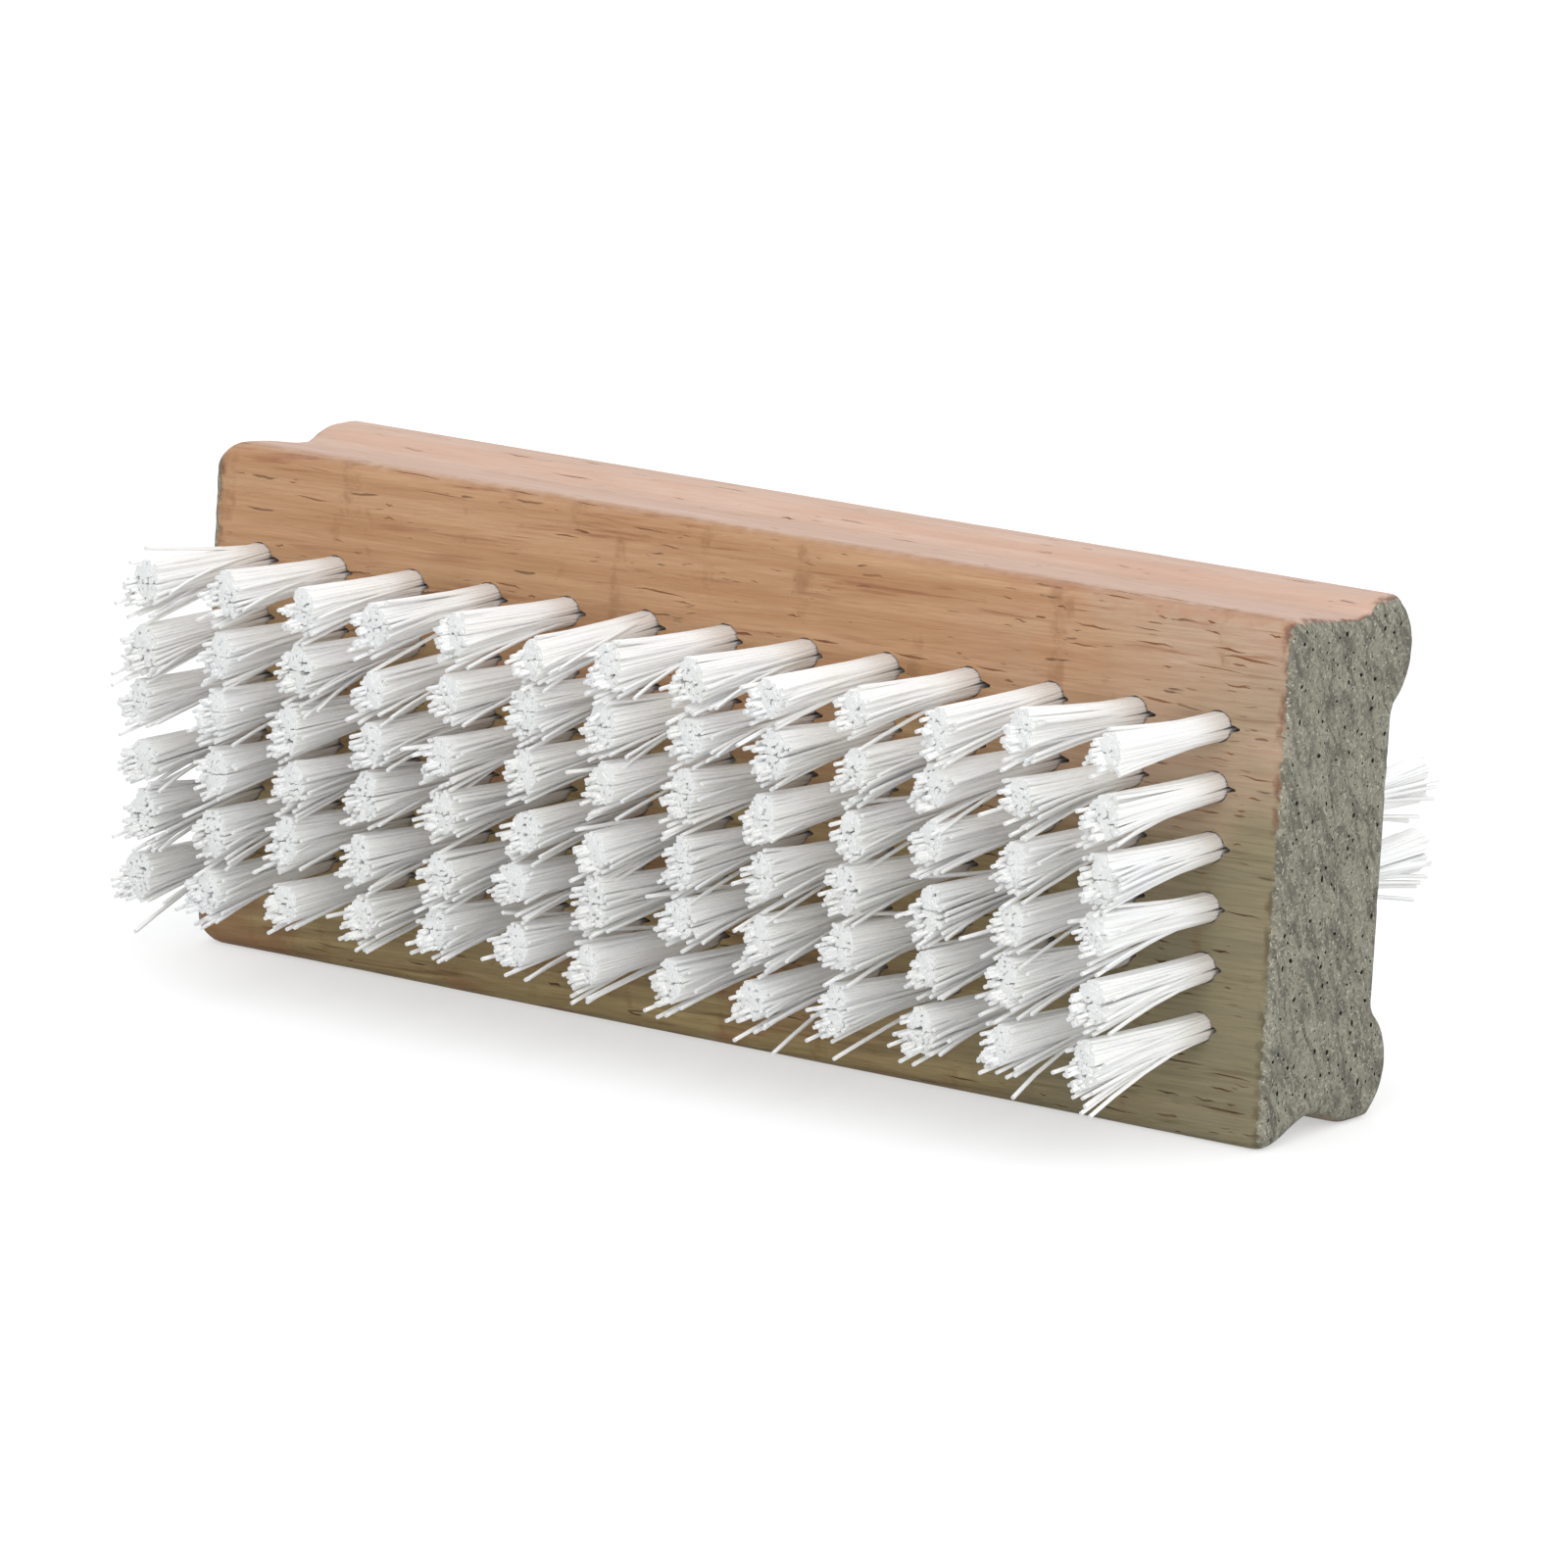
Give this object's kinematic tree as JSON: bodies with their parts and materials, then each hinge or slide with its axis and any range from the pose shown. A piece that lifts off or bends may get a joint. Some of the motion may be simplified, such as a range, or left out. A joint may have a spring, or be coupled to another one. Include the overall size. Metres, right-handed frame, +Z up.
{
  "type": "nail brush",
  "caption": "Double-sided nail brush: a wooden block with finger grips along its edges, white nylon tufts on its flat front and in the rimmed channel on its back.",
  "frame": {"origin": "centre of the bounding box at its bottom, on the level of the long edge that the brush stands on", "axes": "+X along the block's length, +Z up across the block's height, -Y out of the front tufts, +Y out of the back tufts"},
  "size_m": [0.095, 0.0466, 0.039],
  "materials": {
    "wood": "bare, unvarnished, rough sawn ends",
    "nylon": "white, slightly translucent filament",
    "staple_wire": "galvanised flat wire"
  },
  "bodies": {
    "root": {"wood_block": "wood", "front_bristles_rows_1_to_2": "nylon", "front_bristles_rows_3_to_4": "nylon", "front_bristles_rows_5_to_6": "nylon", "back_bristles_rows_1_to_2": "nylon", "front_row_1_staples_1": "staple_wire", "front_row_1_staples_2": "staple_wire", "front_row_1_staples_3": "staple_wire", "front_row_1_staples_4": "staple_wire", "front_row_1_staples_5": "staple_wire", "front_row_2_staples_1": "staple_wire", "front_row_2_staples_2": "staple_wire", "front_row_2_staples_3": "staple_wire", "front_row_2_staples_4": "staple_wire", "front_row_2_staples_5": "staple_wire", "front_row_3_staples_1": "staple_wire", "front_row_3_staples_2": "staple_wire", "front_row_3_staples_3": "staple_wire", "front_row_3_staples_4": "staple_wire", "front_row_3_staples_5": "staple_wire", "front_row_4_staples_1": "staple_wire", "front_row_4_staples_2": "staple_wire", "front_row_4_staples_3": "staple_wire", "front_row_4_staples_4": "staple_wire", "front_row_4_staples_5": "staple_wire", "front_row_5_staples_1": "staple_wire", "front_row_5_staples_2": "staple_wire", "front_row_5_staples_3": "staple_wire", "front_row_5_staples_4": "staple_wire", "front_row_5_staples_5": "staple_wire", "front_row_6_staples_1": "staple_wire", "front_row_6_staples_2": "staple_wire", "front_row_6_staples_3": "staple_wire", "front_row_6_staples_4": "staple_wire", "front_row_6_staples_5": "staple_wire", "back_row_1_staples_1": "staple_wire", "back_row_1_staples_2": "staple_wire", "back_row_1_staples_3": "staple_wire", "back_row_1_staples_4": "staple_wire", "back_row_1_staples_5": "staple_wire", "back_row_2_staples_1": "staple_wire", "back_row_2_staples_2": "staple_wire", "back_row_2_staples_3": "staple_wire", "back_row_2_staples_4": "staple_wire", "back_row_2_staples_5": "staple_wire"}
  },
  "joints": []
}
